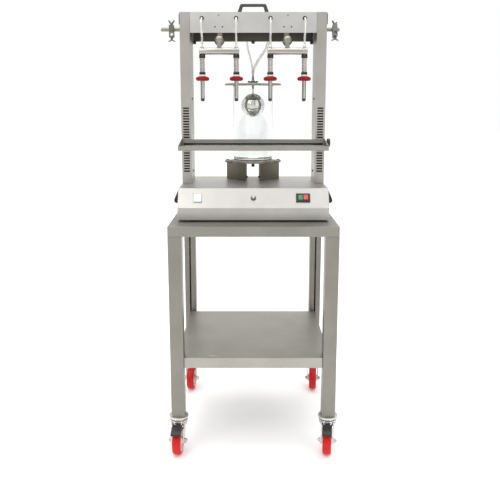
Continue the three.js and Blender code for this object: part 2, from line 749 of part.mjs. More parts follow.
// Height-adjustable bottle shelf.
function bottleShelf() {
  const { half, front, back, top, lipTop, stopTop } = TRAY;
  const lipBottom = top - 13;
  const endPlate = outlineShape([
    [front, lipBottom], [front, lipTop], [back - 21, stopTop + 2], [back, stopTop + 2], [back, lipBottom],
  ]);
  return joined(
    block(-half + 1, half - 1, front, back - SHEET, top - SHEET, top),
    block(-half + 1, half - 1, front, front + SHEET, lipBottom, lipTop),
    block(-half + 1, half - 1, back - SHEET, back, top + 8, stopTop),
    sideOn(endPlate, -half, -half + SHEET),
    sideOn(endPlate, half - SHEET, half),
  );
}

function shelfKnob() {
  const face = TRAY.half + GAP;
  const collar = TRAY.half + 8;
  const end = TRAY.half + 21;
  return turnedAlong('x', [
    [0, face], [6, face], [6, collar], [14, collar], [16.5, collar + 2.5],
    [16.5, end - 4], [14, end], [0, end],
  ], 20, 0, TRAY.back - 11, TRAY.top + 9);
}

// The whole machine.
const machine = new THREE.Group();
machine.add(trolley(), baseUnit(), portal(), fillingHeads(), overflowJar());
machine.add(node('bottle_shelf', bottleShelf(), steel));
machine.add(node('shelf_knob', shelfKnob(), black));

machine.updateMatrixWorld(true);
const bounds = new THREE.Box3().setFromObject(machine, true);
const centre = bounds.getCenter(new THREE.Vector3());
machine.position.set(-centre.x, -centre.y, -bounds.min.z);

const assembly = new THREE.Group();
assembly.add(machine);
export default assembly;
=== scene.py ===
"""Looks of the four-head vacuum bottle filler on its trolley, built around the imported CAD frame.

Lengths that start as millimetres are named in the design frame of the machine: X to the right of
its middle, Y behind the middle of the trolley, Z above the floor. at() places them in the row frame.
"""

import json
import math

import bmesh
import bpy
from mathutils import Matrix, Vector


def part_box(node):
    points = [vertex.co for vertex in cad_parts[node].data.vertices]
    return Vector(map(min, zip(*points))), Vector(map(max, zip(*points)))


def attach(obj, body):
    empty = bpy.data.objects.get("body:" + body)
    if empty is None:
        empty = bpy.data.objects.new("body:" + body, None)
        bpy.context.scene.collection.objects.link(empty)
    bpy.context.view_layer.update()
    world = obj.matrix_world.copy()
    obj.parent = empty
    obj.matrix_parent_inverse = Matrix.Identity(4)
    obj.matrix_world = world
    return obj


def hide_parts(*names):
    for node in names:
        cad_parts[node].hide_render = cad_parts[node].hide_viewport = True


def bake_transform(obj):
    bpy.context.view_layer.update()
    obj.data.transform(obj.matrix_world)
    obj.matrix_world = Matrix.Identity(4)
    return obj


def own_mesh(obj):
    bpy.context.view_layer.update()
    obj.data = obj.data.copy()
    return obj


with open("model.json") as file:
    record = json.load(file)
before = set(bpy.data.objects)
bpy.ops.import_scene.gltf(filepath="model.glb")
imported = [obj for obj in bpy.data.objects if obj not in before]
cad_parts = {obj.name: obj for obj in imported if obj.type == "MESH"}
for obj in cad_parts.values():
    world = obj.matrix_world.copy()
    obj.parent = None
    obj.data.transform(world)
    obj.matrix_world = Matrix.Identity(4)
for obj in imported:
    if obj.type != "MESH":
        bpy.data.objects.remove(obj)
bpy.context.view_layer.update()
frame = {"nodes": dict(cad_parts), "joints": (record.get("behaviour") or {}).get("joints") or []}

MM = 0.001
CORNERS = ("front_left", "front_right", "rear_left", "rear_right")
SIDES = (("left", -1), ("right", 1))


def middle(node, axis):
    low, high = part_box(node)
    return (low[axis] + high[axis]) / 2


MACHINE_X = middle("crossbeam", 0)
MACHINE_Y = middle("cart_top", 1)


def at(x, y, z):
    return Vector((MACHINE_X + x * MM, MACHINE_Y + y * MM, z * MM))


def placed(x=0, y=0, z=0):
    """The design frame, moved to a point in it."""
    return Matrix.Translation(at(x, y, z))


# ---------------------------------------------------------------- camera

CAMERA = {"x": -12.2, "y": -2440.1, "z": 1250, "down_deg": 10.42, "lens": 45.18, "shift": -0.05}


def make_camera():
    data = bpy.data.cameras.new("camera")
    data.lens = CAMERA["lens"]
    data.sensor_width = 36
    data.shift_y = CAMERA["shift"]
    data.clip_end = 50
    camera = bpy.data.objects.new("camera", data)
    camera.location = at(CAMERA["x"], CAMERA["y"], CAMERA["z"])
    camera.rotation_euler = (math.radians(90 - CAMERA["down_deg"]), 0, 0)
    bpy.context.scene.collection.objects.link(camera)
    bpy.context.scene.camera = camera


make_camera()


# ---------------------------------------------------------------- materials


def srgb(r, g, b):
    def linear(value):
        share = value / 255
        return share / 12.92 if share <= 0.04045 else ((share + 0.055) / 1.055) ** 2.4

    return (linear(r), linear(g), linear(b), 1.0)


def blank_material(name):
    material = bpy.data.materials.new(name)
    material.use_nodes = True
    tree = material.node_tree
    return material, tree, tree.nodes["Principled BSDF"]


def noise(tree, scale, stretch=(1, 1, 1), detail=4.0):
    place = tree.nodes.new("ShaderNodeTexCoord")
    mapping = tree.nodes.new("ShaderNodeMapping")
    mapping.inputs["Scale"].default_value = stretch
    texture = tree.nodes.new("ShaderNodeTexNoise")
    texture.inputs["Scale"].default_value = scale
    texture.inputs["Detail"].default_value = detail
    tree.links.new(place.outputs["Object"], mapping.inputs["Vector"])
    tree.links.new(mapping.outputs["Vector"], texture.inputs["Vector"])
    return texture


def ramp(tree, source, low, high, start=0.35, end=0.65):
    node = tree.nodes.new("ShaderNodeValToRGB")
    node.color_ramp.elements[0].position = start
    node.color_ramp.elements[0].color = low
    node.color_ramp.elements[1].position = end
    node.color_ramp.elements[1].color = high
    tree.links.new(source.outputs["Fac"], node.inputs["Fac"])
    return node


def spread(tree, source, low, high):
    node = tree.nodes.new("ShaderNodeMapRange")
    node.inputs["To Min"].default_value = low
    node.inputs["To Max"].default_value = high
    tree.links.new(source.outputs["Fac"], node.inputs["Value"])
    return node


def bump(tree, shader, source, strength, distance):
    node = tree.nodes.new("ShaderNodeBump")
    node.inputs["Strength"].default_value = strength
    node.inputs["Distance"].default_value = distance
    tree.links.new(source.outputs["Fac"], node.inputs["Height"])
    tree.links.new(node.outputs["Normal"], shader.inputs["Normal"])


def scaled(colour, share):
    return tuple(channel * share for channel in colour[:3]) + (1.0,)


def finish(name, colour, roughness, metallic=0.0, grain=None, tone=0.06, relief=0.05, **extra):
    """Surface with cloudy colour, uneven gloss and fine relief. grain stretches the relief like brushing."""
    material, tree, shader = blank_material(name)
    stretch = grain or (1, 1, 1)
    clouds = noise(tree, 9, detail=3.0)
    fine = noise(tree, 420, stretch)
    colours = ramp(tree, clouds, scaled(colour, 1 - tone), scaled(colour, 1 + tone))
    tree.links.new(colours.outputs["Color"], shader.inputs["Base Color"])
    gloss = spread(tree, fine, roughness * 0.8, min(1.0, roughness * 1.2))
    tree.links.new(gloss.outputs["Result"], shader.inputs["Roughness"])
    bump(tree, shader, fine, relief, 0.0006)
    shader.inputs["Metallic"].default_value = metallic
    for socket, value in extra.items():
        shader.inputs[socket.replace("_", " ")].default_value = value
    return material


BRUSH_X = (0.02, 1, 1)
BRUSH_Z = (1, 1, 0.02)


def brushed(name, colour, grain, roughness=0.36, metallic=0.85):
    return finish(name, colour, roughness, metallic, grain, tone=0.05, relief=0.09)


def clear(name, colour, ior, roughness, transmission=1.0):
    """Transparent wall, with faint waviness in its gloss."""
    material, tree, shader = blank_material(name)
    waves = noise(tree, 25, (1, 1, 0.2), 2.0)
    tint = ramp(tree, waves, scaled(colour, 0.97), scaled(colour, 1.0))
    tree.links.new(tint.outputs["Color"], shader.inputs["Base Color"])
    gloss = spread(tree, waves, roughness, roughness + 0.03)
    tree.links.new(gloss.outputs["Result"], shader.inputs["Roughness"])
    shader.inputs["IOR"].default_value = ior
    shader.inputs["Transmission Weight"].default_value = transmission
    return material


STEEL_BEAM = brushed("steel_beam", srgb(206, 205, 201), BRUSH_X)
STEEL_COLUMN = brushed("steel_column", srgb(178, 176, 168), BRUSH_Z)
STEEL_BASE = brushed("steel_base", srgb(190, 188, 183), BRUSH_X)
STEEL_TOP = brushed("steel_top", srgb(143, 141, 133), BRUSH_X)
STEEL_LEG = brushed("steel_leg", srgb(138, 136, 127), BRUSH_Z, 0.38)
STEEL_SHELF = brushed("steel_shelf", srgb(170, 167, 159), BRUSH_X, 0.42)
STEEL_TRAY = brushed("steel_tray", srgb(158, 156, 148), BRUSH_X, 0.5)
STEEL_BAR = brushed("steel_bar", srgb(172, 168, 160), BRUSH_X, 0.25)
STEEL_RING = brushed("steel_ring", srgb(152, 149, 140), BRUSH_X, 0.4)
# Darker copy of the brushed steel: on the jar stands it is painted dark reflection; also used on the side
# rods, hub shafts and plates, and the lid stem.
STEEL_DARK_REFLECTION = brushed("steel_dark_reflection", srgb(140, 136, 122), BRUSH_X, 0.42)
# Blackened steel for the base pan, nozzle tips and hub discs; its colour also paints the shade on the inner
# face of the beam's back wall.
STEEL_BLACKENED_AND_SHADE = brushed("steel_blackened_and_shade", srgb(84, 80, 72), BRUSH_Z, 0.4)
POLISHED = finish("steel_polished", srgb(206, 204, 200), 0.16, 1.0, tone=0.06, relief=0.03)
CHROME = finish("chrome", srgb(205, 203, 199), 0.07, 1.0, tone=0.04, relief=0.01)
SPRING = finish("spring_wire", srgb(196, 194, 190), 0.22, 1.0, tone=0.08, relief=0.02)
CASTING = finish("clamp_casting", srgb(120, 116, 108), 0.4, 0.8, tone=0.12, relief=0.25)
# Black plastic; its colour also paints the shade in the corners at the ends of the beam's back wall.
BLACK_AND_SHADE = finish("black_plastic", srgb(34, 34, 32), 0.42, tone=0.15, relief=0.2)
BLACK_SOFT = finish("black_soft", srgb(60, 62, 60), 0.5, tone=0.12, relief=0.2)
RUBBER = finish("black_rubber", srgb(22, 22, 22), 0.55, tone=0.2, relief=0.2)
SILICONE = finish("red_silicone", srgb(146, 3, 4), 0.5, tone=0.1, relief=0.05, Specular_IOR_Level=0.25)
TREAD = finish("red_tread", srgb(204, 24, 20), 0.45, tone=0.08, relief=0.12, Specular_IOR_Level=0.3)
HUB = finish("wheel_hub", srgb(222, 214, 214), 0.3, tone=0.05, relief=0.1)
PALE = finish("pale_ring", srgb(226, 214, 206), 0.35, tone=0.04, relief=0.05)
GREEN = finish("green_button", srgb(48, 140, 92), 0.22, tone=0.12, relief=0.04, Coat_Weight=0.4)
RED = finish("red_button", srgb(208, 72, 72), 0.22, tone=0.12, relief=0.04, Coat_Weight=0.4)
WHITE = finish("white_rocker", srgb(236, 246, 240), 0.28, tone=0.03, relief=0.04, Coat_Weight=0.3)
GLASS = clear("jar_glass", srgb(252, 254, 253), 1.45, 0.0)
HOSE = clear("silicone_hose", srgb(238, 238, 234), 1.3, 0.2, transmission=0.6)
BEZEL = finish("rocker_bezel", srgb(150, 166, 156), 0.35, tone=0.05, relief=0.05)
HOLE = finish("dark_hole", srgb(12, 12, 11), 0.7, tone=0.1, relief=0.1)


# ---------------------------------------------------------------- mesh helpers


def add_object(name, mesh, material, body, smooth=True):
    mesh.materials.append(material)
    for face in mesh.polygons:
        face.use_smooth = smooth
    piece = bpy.data.objects.new(name, mesh)
    bpy.context.scene.collection.objects.link(piece)
    if body:
        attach(piece, body)
    return piece


def from_bmesh(name, built, material, body, smooth=True, sharp_deg=35):
    bmesh.ops.recalc_face_normals(built, faces=built.faces)
    for edge in built.edges:
        edge.smooth = len(edge.link_faces) == 2 and edge.calc_face_angle(0) < math.radians(sharp_deg)
    mesh = bpy.data.meshes.new(name)
    built.to_mesh(mesh)
    built.free()
    return add_object(name, mesh, material, body, smooth)


def facing(direction):
    """Rotation that takes local Z to a direction."""
    return Vector((0, 0, 1)).rotation_difference(Vector(direction)).to_matrix().to_4x4()


def turn(built, profile, matrix, sides):
    """Turns [radius, height] points in millimetres about matrix's Z axis.

    A profile that doesn't reach the axis at either end is closed into a ring.
    """
    rings = []
    for radius, height in profile:
        if radius < 1e-6:
            rings.append([built.verts.new(matrix @ Vector((0, 0, height * MM)))])
            continue
        ring = []
        for step in range(sides):
            angle = 2 * math.pi * step / sides
            point = Vector((radius * MM * math.cos(angle), radius * MM * math.sin(angle), height * MM))
            ring.append(built.verts.new(matrix @ point))
        rings.append(ring)
    pairs = list(zip(rings, rings[1:]))
    if len(rings[0]) > 1 and len(rings[-1]) > 1:
        pairs.append((rings[-1], rings[0]))
    for low, high in pairs:
        for step in range(sides):
            following = (step + 1) % sides
            corners = [low[step % len(low)], low[following % len(low)],
                       high[following % len(high)], high[step % len(high)]]
            distinct = list(dict.fromkeys(corners))
            if len(distinct) > 2:
                built.faces.new(distinct)


def lathe(name, profile, material, body, origin, direction=(0, 0, 1), sides=48):
    built = bmesh.new()
    turn(built, profile, Matrix.Translation(origin) @ facing(direction), sides)
    return from_bmesh(name, built, material, body)


def lathe_in(name, profile, material, body, matrix, sides=48):
    built = bmesh.new()
    turn(built, profile, matrix, sides)
    return from_bmesh(name, built, material, body)


def rounded_box(name, low, high, radius, material, body, matrix=None, segments=3):
    """Box between two corners in millimetres, with rounded edges, placed by matrix."""
    built = bmesh.new()
    bmesh.ops.create_cube(built, size=1)
    low, high = Vector(low), Vector(high)
    for vertex in built.verts:
        vertex.co = Vector([(low[i] + high[i]) / 2 + vertex.co[i] * (high[i] - low[i]) for i in range(3)])
    bmesh.ops.bevel(built, geom=built.edges[:], offset=radius, segments=segments, affect="EDGES", profile=0.5)
    place = (matrix or Matrix.Identity(4)) @ Matrix.Scale(MM, 4)
    built.transform(place)
    return from_bmesh(name, built, material, body, sharp_deg=60)


def prism(name, outline, start, end, plane, radius, material, body, matrix=None):
    """Outline in millimetres in plane XZ, YZ or XY, drawn out from start to end, with its edges rounded."""
    built = bmesh.new()
    order = {
        "XZ": lambda u, v, w: (u, w, v),
        "YZ": lambda u, v, w: (w, u, v),
        "XY": lambda u, v, w: (u, v, w),
    }[plane]
    near = [built.verts.new(order(u, v, start)) for u, v in outline]
    far = [built.verts.new(order(u, v, end)) for u, v in outline]
    built.faces.new(near)
    built.faces.new(far)
    for step in range(len(outline)):
        following = (step + 1) % len(outline)
        built.faces.new((near[step], near[following], far[following], far[step]))
    if radius:
        bmesh.ops.bevel(built, geom=built.edges[:], offset=radius, segments=2, affect="EDGES", profile=0.5)
    place = (matrix or Matrix.Identity(4)) @ Matrix.Scale(MM, 4)
    built.transform(place)
    return from_bmesh(name, built, material, body, sharp_deg=40)


def smooth_path(points, steps):
    """Catmull-Rom curve through points, as a list of positions."""
    ends = [points[0] * 2 - points[1], *points, points[-1] * 2 - points[-2]]
    path = []
    for before, start, end, after in zip(ends, ends[1:], ends[2:], ends[3:]):
        for step in range(steps):
            t = step / steps
            path.append(0.5 * (2 * start + (end - before) * t
                               + (2 * before - 5 * start + 4 * end - after) * t ** 2
                               + (3 * start - before - 3 * end + after) * t ** 3))
    path.append(points[-1].copy())
    return path


def tube_mesh(name, path, radius, sides=16):
    """Closed tube of one radius along a path, both in metres, without twist."""
    built = bmesh.new()
    rings = []
    tangent = (path[1] - path[0]).normalized()
    side = tangent.orthogonal().normalized()
    for index, point in enumerate(path):
        ahead = path[min(index + 1, len(path) - 1)]
        behind = path[max(index - 1, 0)]
        following = (ahead - behind).normalized()
        side = (tangent.rotation_difference(following) @ side).normalized()
        tangent = following
        other = tangent.cross(side)
        rings.append([
            built.verts.new(point + (side * math.cos(a) + other * math.sin(a)) * radius)
            for a in (2 * math.pi * step / sides for step in range(sides))
        ])
    for low, high in zip(rings, rings[1:]):
        for step in range(sides):
            following = (step + 1) % sides
            built.faces.new((low[step], low[following], high[following], high[step]))
    built.faces.new(rings[0])
    built.faces.new(rings[-1])
    bmesh.ops.recalc_face_normals(built, faces=built.faces)
    mesh = bpy.data.meshes.new(name)
    built.to_mesh(mesh)
    built.free()
    return mesh


def tube(name, path, radius, material, body, sides=16):
    return add_object(name, tube_mesh(name, path, radius, sides), material, body)


# ---------------------------------------------------------------- hoses

HOSE_STEPS = 8
THIN_HOSE = 3.75
THICK_HOSE = 6.0
GROMMET_Z = 1585
BARB_TOP = 1487.3
NOZZLE_X = (-187.5, -62.5, 62.5, 187.5)
NOZZLE_Y = -64
GROMMET_X = (-192, -64, 64, 192)
JAR_Y = 180
LID_BARB_TOP = 1394.3
HOSE_BACK_Y = 134.3


def declared_hose(name, points, radius, node):
    path = smooth_path([at(*point) for point in points], HOSE_STEPS)
    piece = tube(name, path, radius * MM, HOSE, None)
    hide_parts(node)
    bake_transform(piece)
    return piece


def make_hoses():
    for number, (x, from_x) in enumerate(zip(NOZZLE_X, GROMMET_X), 1):
        points = [
            (from_x, 5, GROMMET_Z), (from_x, -6, GROMMET_Z), (from_x, -22, GROMMET_Z - 4),
            (from_x, -44, GROMMET_Z - 22), ((from_x + x) / 2, -58, GROMMET_Z - 52),
            (x, NOZZLE_Y, BARB_TOP + 22), (x, NOZZLE_Y, BARB_TOP),
        ]
        declared_hose(f"filling_hose_{number}", points, THIN_HOSE, f"fill_hose_{number}")
    top = LID_BARB_TOP
    routes = {
        "vacuum_hose_thin": (THIN_HOSE, [
            (0, JAR_Y, top), (0, JAR_Y, top + 8), (-2, JAR_Y, top + 20), (-8, JAR_Y - 2, top + 50),
            (-20, JAR_Y - 8, top + 95), (-24, JAR_Y - 14, top + 125), (-24, JAR_Y - 28, top + 148),
            (-24, JAR_Y - 36, top + 150), (-24, HOSE_BACK_Y, top + 150),
        ]),
        "vacuum_hose_thick": (THICK_HOSE, [
            (0, JAR_Y, top), (0, JAR_Y, top + 8), (4, JAR_Y, top + 20), (20, JAR_Y - 2, top + 50),
            (50, JAR_Y - 8, top + 95), (61, JAR_Y - 13, top + 125), (61, JAR_Y - 26, top + 150),
            (61, JAR_Y - 36, top + 155), (61, HOSE_BACK_Y, top + 155),
        ]),
    }
    for name, (radius, points) in routes.items():
        declared_hose(name, points, radius, "vacuum_hose")


make_hoses()


# ---------------------------------------------------------------- CAD nodes that stay


def dressed(node, material, bevel_mm=0.8):
    """Gives a kept CAD node its material and rounds its sharp edges."""
    piece = frame["nodes"][node]
    piece.data.materials.clear()
    piece.data.materials.append(material)
    for face in piece.data.polygons:
        face.use_smooth = False
    weld = piece.modifiers.new("weld", "WELD")
    weld.merge_threshold = 0.00001
    if bevel_mm:
        bevel = piece.modifiers.new("bevel", "BEVEL")
        bevel.width = bevel_mm * MM
        bevel.segments = 2
        bevel.limit_method = "ANGLE"
        bevel.angle_limit = math.radians(40)
    return piece


def dress_kept_nodes():
    kept = {
        "cart_top": (STEEL_TOP, 1.5), "cart_shelf": (STEEL_SHELF, 1.2),
        "base_housing": (STEEL_BASE, 1.2), "base_pan": (STEEL_BLACKENED_AND_SHADE, 0.6), "vacuum_pump": (CASTING, 1.0),
        "side_handle_left": (BLACK_AND_SHADE, 2.0), "side_handle_right": (BLACK_AND_SHADE, 2.0),
        "rocker_switch": (WHITE, 1.5), "switch_body": (BLACK_AND_SHADE, 1.2),
        "start_button": (GREEN, 1.5), "stop_button": (RED, 1.5),
        "column_left": (STEEL_COLUMN, 0.5), "column_right": (STEEL_COLUMN, 0.5),
        "crossbeam": (STEEL_BEAM, 0.8), "bottle_shelf": (STEEL_TRAY, 0.8),
        "jar_stand_left": (STEEL_DARK_REFLECTION, 0.8), "jar_stand_right": (STEEL_DARK_REFLECTION, 0.8),
        "bosshead_left": (CASTING, 2.0), "bosshead_right": (CASTING, 2.0),
        "wing_screw_left": (CASTING, 1.0), "wing_screw_right": (CASTING, 1.0),
        "lid_knob": (BLACK_AND_SHADE, 1.5),
        "brake_pedal_front_left": (BLACK_AND_SHADE, 1.2), "brake_pedal_front_right": (BLACK_AND_SHADE, 1.2),
    }
    for corner in CORNERS:
        kept[f"cart_leg_{corner}"] = (STEEL_LEG, 1.2)
        kept[f"caster_fork_{corner}"] = (POLISHED, 0.8)
    for node, (material, bevel_mm) in kept.items():
        dressed(node, material, bevel_mm)


dress_kept_nodes()


# ---------------------------------------------------------------- casters


def arc(centre_r, centre_z, radius, from_deg, to_deg, steps=6):
    points = []
    for step in range(steps + 1):
        angle = math.radians(from_deg + (to_deg - from_deg) * step / steps)
        points.append((centre_r + radius * math.cos(angle), centre_z + radius * math.sin(angle)))
    return points


def make_casters():
    joints = {joint["name"]: joint for joint in frame["joints"]}
    for corner in CORNERS:
        spin = joints[f"wheel_spin_{corner}"]
        swivel = joints[f"caster_swivel_{corner}"]
        axle = Vector(spin["pos_m"])
        across = Vector(spin["axis"])
        pivot = Vector((swivel["pos_m"][0], swivel["pos_m"][1], 0))
        body = f"wheel_{corner}"
        fork_body = f"caster_{corner}"
        place = Matrix.Translation(axle) @ facing(across)
        tread = [(38, -15), *arc(42, -8, 8, -90, -15), (50, 0), *arc(42, 8, 8, 15, 90), (38, 15), (37, 0)]
        piece = lathe_in(f"wheel_tread_{corner}", tread, TREAD, body, place, 72)
        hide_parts(f"caster_wheel_{corner}")
        hub = [
            (6.6, -19.4), (13, -19.4), (14, -18.5), (15, -12), (18, -9), (30, -9), (34, -13), (38.5, -15),
            (38.5, 15), (34, 13), (30, 9), (18, 9), (15, 12), (14, 18.5), (13, 19.4), (6.6, 19.4),
        ]
        lathe_in(f"wheel_hub_{corner}", hub, HUB, body, place, 60)
        for side in (-1, 1):
            nut_place = Matrix.Translation(axle + across * side * 29.5 * MM) @ facing(across * side)
            dome = [(0, 0), (7.5, 0), (7.5, 1.5), (6.6, 3.6), (4, 5.4), (0, 6)]
            end = "a" if side < 0 else "b"
            lathe_in(f"axle_nut_{corner}_{end}", dome, POLISHED, fork_body, nut_place, 32)
        lower = [
            (6.6, 115.4), (31, 115.4), (32.6, 116.6), (32.8, 120), (32.4, 123), (30, 124.4), (6.6, 124.4),
        ]
        lathe(f"swivel_race_{corner}", lower, POLISHED, fork_body, pivot, sides=56)
        balls = [(8, 124.5), (27.2, 124.5), *arc(27.6, 127, 2.4, -80, 80), (27.2, 129.6), (8, 129.6)]
        lathe(f"ball_race_{corner}", balls, CHROME, fork_body, pivot, sides=56)
        crown = [(26, 115.2), (27.4, 106.4), (28.6, 105.8), (30.6, 106.2), (31.4, 108), (32, 115.2)]
        lathe(f"fork_crown_{corner}", crown, POLISHED, fork_body, pivot, sides=56)
        cover = [
            (20, 129.9), (34.4, 129.9), (35.6, 131), (35.8, 134), (35, 137.4), (33, 138.6), (20, 138.6),
        ]
        lathe(f"caster_flange_{corner}", cover, POLISHED, "root", pivot, sides=56)


make_casters()


# ---------------------------------------------------------------- filling heads

SPRING_TURNS = 9
SPRING_WIRE = 1.1


def helix(centre, radius, low, high, turns):
    path = []
    steps = turns * 24
    for step in range(steps + 1):
        share = step / steps
        angle = 2 * math.pi * turns * share
        height = low + (high - low) * share
        path.append(centre + Vector((radius * math.cos(angle), radius * math.sin(angle), height)))
    return path


def make_nozzle(number, x, arm):
    origin = at(x, NOZZLE_Y, 0)
    tube_profile = [
        (0, 1291), (7.5, 1291), (7.5, 1436.8), (4.7, 1436.8), (4.7, 1473.4), (6.6, 1473.4), (6.8, 1475.8),
        (6.2, 1476.4), (3, 1476.6), (4, 1479), (2.9, 1482), (3.6, 1483.5), (2.5, 1486.6), (0, 1486.8),
    ]
    tube_piece = lathe(f"nozzle_tube_{number}", tube_profile, POLISHED, arm, origin)
    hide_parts(f"nozzle_{number}")
    tip = [(0, 1280.2), (3.5, 1280.5), (6, 1282.3), (7.3, 1285.5), (7.45, 1288), (6.9, 1290.8), (0, 1291.2)]
    lathe(f"nozzle_tip_{number}", tip, STEEL_BLACKENED_AND_SHADE, arm, origin)
    guide = [
        (7.6, 1436), (10.6, 1436), (11.5, 1437), (11.5, 1446), (10.8, 1447), (5, 1447), (5, 1437.2),
        (7.6, 1437),
    ]
    lathe(f"guide_ring_{number}", guide, RUBBER, arm, origin)
    seal_body = f"seal_{number}"
    cup = [
        (7.9, 1354), (14, 1354), *arc(17.5, 1362.5, 8, -80, -25, 5), *arc(23.4, 1364, 1.8, -50, 80, 5),
        (20, 1368.6), (16, 1369.6), (11.5, 1370.2), (7.9, 1370.4),
    ]
    seal = lathe(f"seal_cup_{number}", cup, SILICONE, seal_body, origin, sides=64)
    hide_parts(f"nozzle_seal_{number}")
    lathe(f"seal_collar_{number}", [(7.9, 1370.4), (12, 1370.4), (12.4, 1372), (10, 1376.8), (7.9, 1376.8)],
          PALE, seal_body, origin)
    lathe(f"pressure_ring_{number}", [(7.9, 1377), (10.6, 1377), (11.4, 1378), (11.4, 1384.6), (10.6, 1385.8),
                                      (7.9, 1385.8)], RUBBER, seal_body, origin)
    coil = tube(f"seal_spring_{number}", helix(origin, 9.4 * MM, 1386.9 * MM, 1434.6 * MM, SPRING_TURNS),
                SPRING_WIRE * MM, SPRING, arm, sides=8)
    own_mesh(coil)


ARM_X = 125
PIVOT_Y = -46
PIVOT_Z = 1501
BAR_Z = 1460


def make_arm(name, side):
    x = side * ARM_X
    forward = (0, -1, 0)
    pivot = at(x, PIVOT_Y, PIVOT_Z)
    arm = f"arm_{name}"
    bar_place = placed(x, NOZZLE_Y, BAR_Z) @ facing((1, 0, 0))
    bar = [
        (0, -73.4), (10.6, -73.4), (12, -72.6), (12.5, -71), (12.5, 71), (12, 72.6), (10.6, 73.4), (0, 73.4),
    ]
    piece = lathe_in(f"bar_{name}", bar, STEEL_BAR, arm, bar_place, 56)
    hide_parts(f"nozzle_bar_{name}")
    place = placed(x)
    rounded_box(f"bar_post_{name}", (-8, -64, 1462), (8, -50, 1499), 2, STEEL_RING, arm, place)
    dome = [(0, 20), (5, 19.6), (10, 17.6), (13.6, 14), (15.4, 9), (15.6, 3), (15.2, 0.3), (0, 0.3)]
    lathe(f"hub_dome_{name}", dome, STEEL_RING, arm, pivot, forward)
    disc = [(0, -8), (18, -8), (19, -7), (19, -1), (18, 0), (0, 0)]
    hub = lathe(f"hub_disc_{name}", disc, STEEL_BLACKENED_AND_SHADE, "root", pivot, forward, 56)
    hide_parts(f"arm_hub_{name}")
    shaft = [(0, -49), (14, -49), (14, -46), (12, -44), (12, -8), (0, -8)]
    lathe(f"hub_shaft_{name}", shaft, STEEL_DARK_REFLECTION, "root", pivot, forward)
    rounded_box(f"hub_plate_{name}", (-22, 0.8, 1536), (22, 3.8, 1568), 1, STEEL_DARK_REFLECTION, "root", place)
    rounded_box(f"hub_strap_{name}", (-9, 0.9, 1486), (9, 3.7, 1538), 1, STEEL_DARK_REFLECTION, "root", place)


def make_filling_heads():
    for name, side in SIDES:
        make_arm(name, side)
    for number, x in enumerate(NOZZLE_X, 1):
        make_nozzle(number, x, "arm_left" if x < 0 else "arm_right")


make_filling_heads()


# ---------------------------------------------------------------- overflow jar


def make_jar():
    origin = at(0, JAR_Y, 0)
    wall = [
        (0, 1045.5), (68, 1045.5), *arc(72, 1053.5, 8, -90, 0), (80, 1340), *arc(77, 1343, 3, 0, 90),
        (74.5, 1345.5), (74, 1343), (74, 1062), *arc(66, 1061, 8, 0, -90), (0, 1053),
    ]
    glass = lathe("jar_glass", wall, GLASS, "root", origin, sides=96)
    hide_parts("jar")
    ball = arc(0, 1264, 48.4, -88, 86.5, 40)
    ball[0] = (0, 1215.5)
    rod = [*ball, (2.6, 1313), (2.5, 1338), (0, 1338)]
    float_piece = lathe("float_ball", rod, CHROME, "float_ball", origin, sides=72)
    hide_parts("float")


def make_lid():
    low = 1346.3
    high = low + 7.7
    steps = 96
    levels = [
        (5.1, 5.1, low), (113.3, 86.7, low), (115, 88, low + 1), (115, 88, high - 1), (113.3, 86.7, high),
        (5.1, 5.1, high),
    ]
    built = bmesh.new()
    rings = []
    for reach_x, reach_y, height in levels:
        angles = (2 * math.pi * step / steps for step in range(steps))
        rings.append([
            built.verts.new(at(reach_x * math.cos(a), JAR_Y + reach_y * math.sin(a), height)) for a in angles
        ])
    for lower, upper in zip(rings, [*rings[1:], rings[0]]):
        for step in range(steps):
            following = (step + 1) % steps
            built.faces.new((lower[step], lower[following], upper[following], upper[step]))
    plate = from_bmesh("lid_plate", built, STEEL_COLUMN, "lid")
    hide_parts("jar_lid")
    origin = at(0, JAR_Y, 0)
    stem = [
        (0, 1360), (3.2, 1360), (3.2, 1330), (5, 1330), (5, 1371.6), (4.6, 1373), (4.6, 1379.6), (3, 1381.6),
        (4, 1386), (2.9, 1388.4), (2.8, 1393.6), (0, 1394),
    ]
    lathe("lid_stem", stem, STEEL_DARK_REFLECTION, "lid", origin)
    gasket = [(70, 1344.2), (82, 1344.2), (82.6, 1345.4), (82, 1346.6), (70, 1346.6)]
    lathe("lid_gasket", gasket, RUBBER, "lid", origin, sides=96)
    cap = [(5.6, 1363.5), (8.6, 1363.5), (8.8, 1365.4), (7.4, 1366.4), (5.6, 1366.6)]
    lathe("lid_knob_cap", cap, POLISHED, "lid_wing", origin)


def make_jar_ring():
    origin = at(0, JAR_Y, 0)
    ring = [(60, 1035), (91, 1035), (92.4, 1036.2), (92.4, 1043.8), (91, 1045), (60, 1045)]
    plate = lathe("ring_plate", ring, STEEL_RING, "root", origin, sides=96)
    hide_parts("jar_ring")
    for name, side in SIDES:
        place = placed(side * 100, JAR_Y)
        rounded_box(f"ring_ear_{name}", (-15, -20, 1035.2), (15, 20, 1044.8), 2, STEEL_RING, "root", place)
        screw_head(f"ring_screw_{name}", at(side * 105, JAR_Y, 1044.8), (0, 0, 1), 5, BLACK_AND_SHADE)
    knob = arc(0, 1029, 7, -90, 62, 12)
    knob[0] = (0, 1022)
    lathe("drain_knob", [*knob, (3, 1035.5), (0, 1035.5)], BLACK_AND_SHADE, "root", at(0, JAR_Y - 87, 0))


def screw_head(name, place, direction, radius, material, body="root"):
    """Socket screw: a rounded head with a round recess."""
    height = radius * 0.7
    profile = [(0, height * 0.35), (radius * 0.45, height * 0.35), (radius * 0.5, height * 0.95),
               (radius * 0.8, height), (radius, height * 0.7), (radius, -0.3), (0, -0.3)]
    return lathe(name, profile, material, body, place, direction, 24)


make_jar()
make_lid()
make_jar_ring()


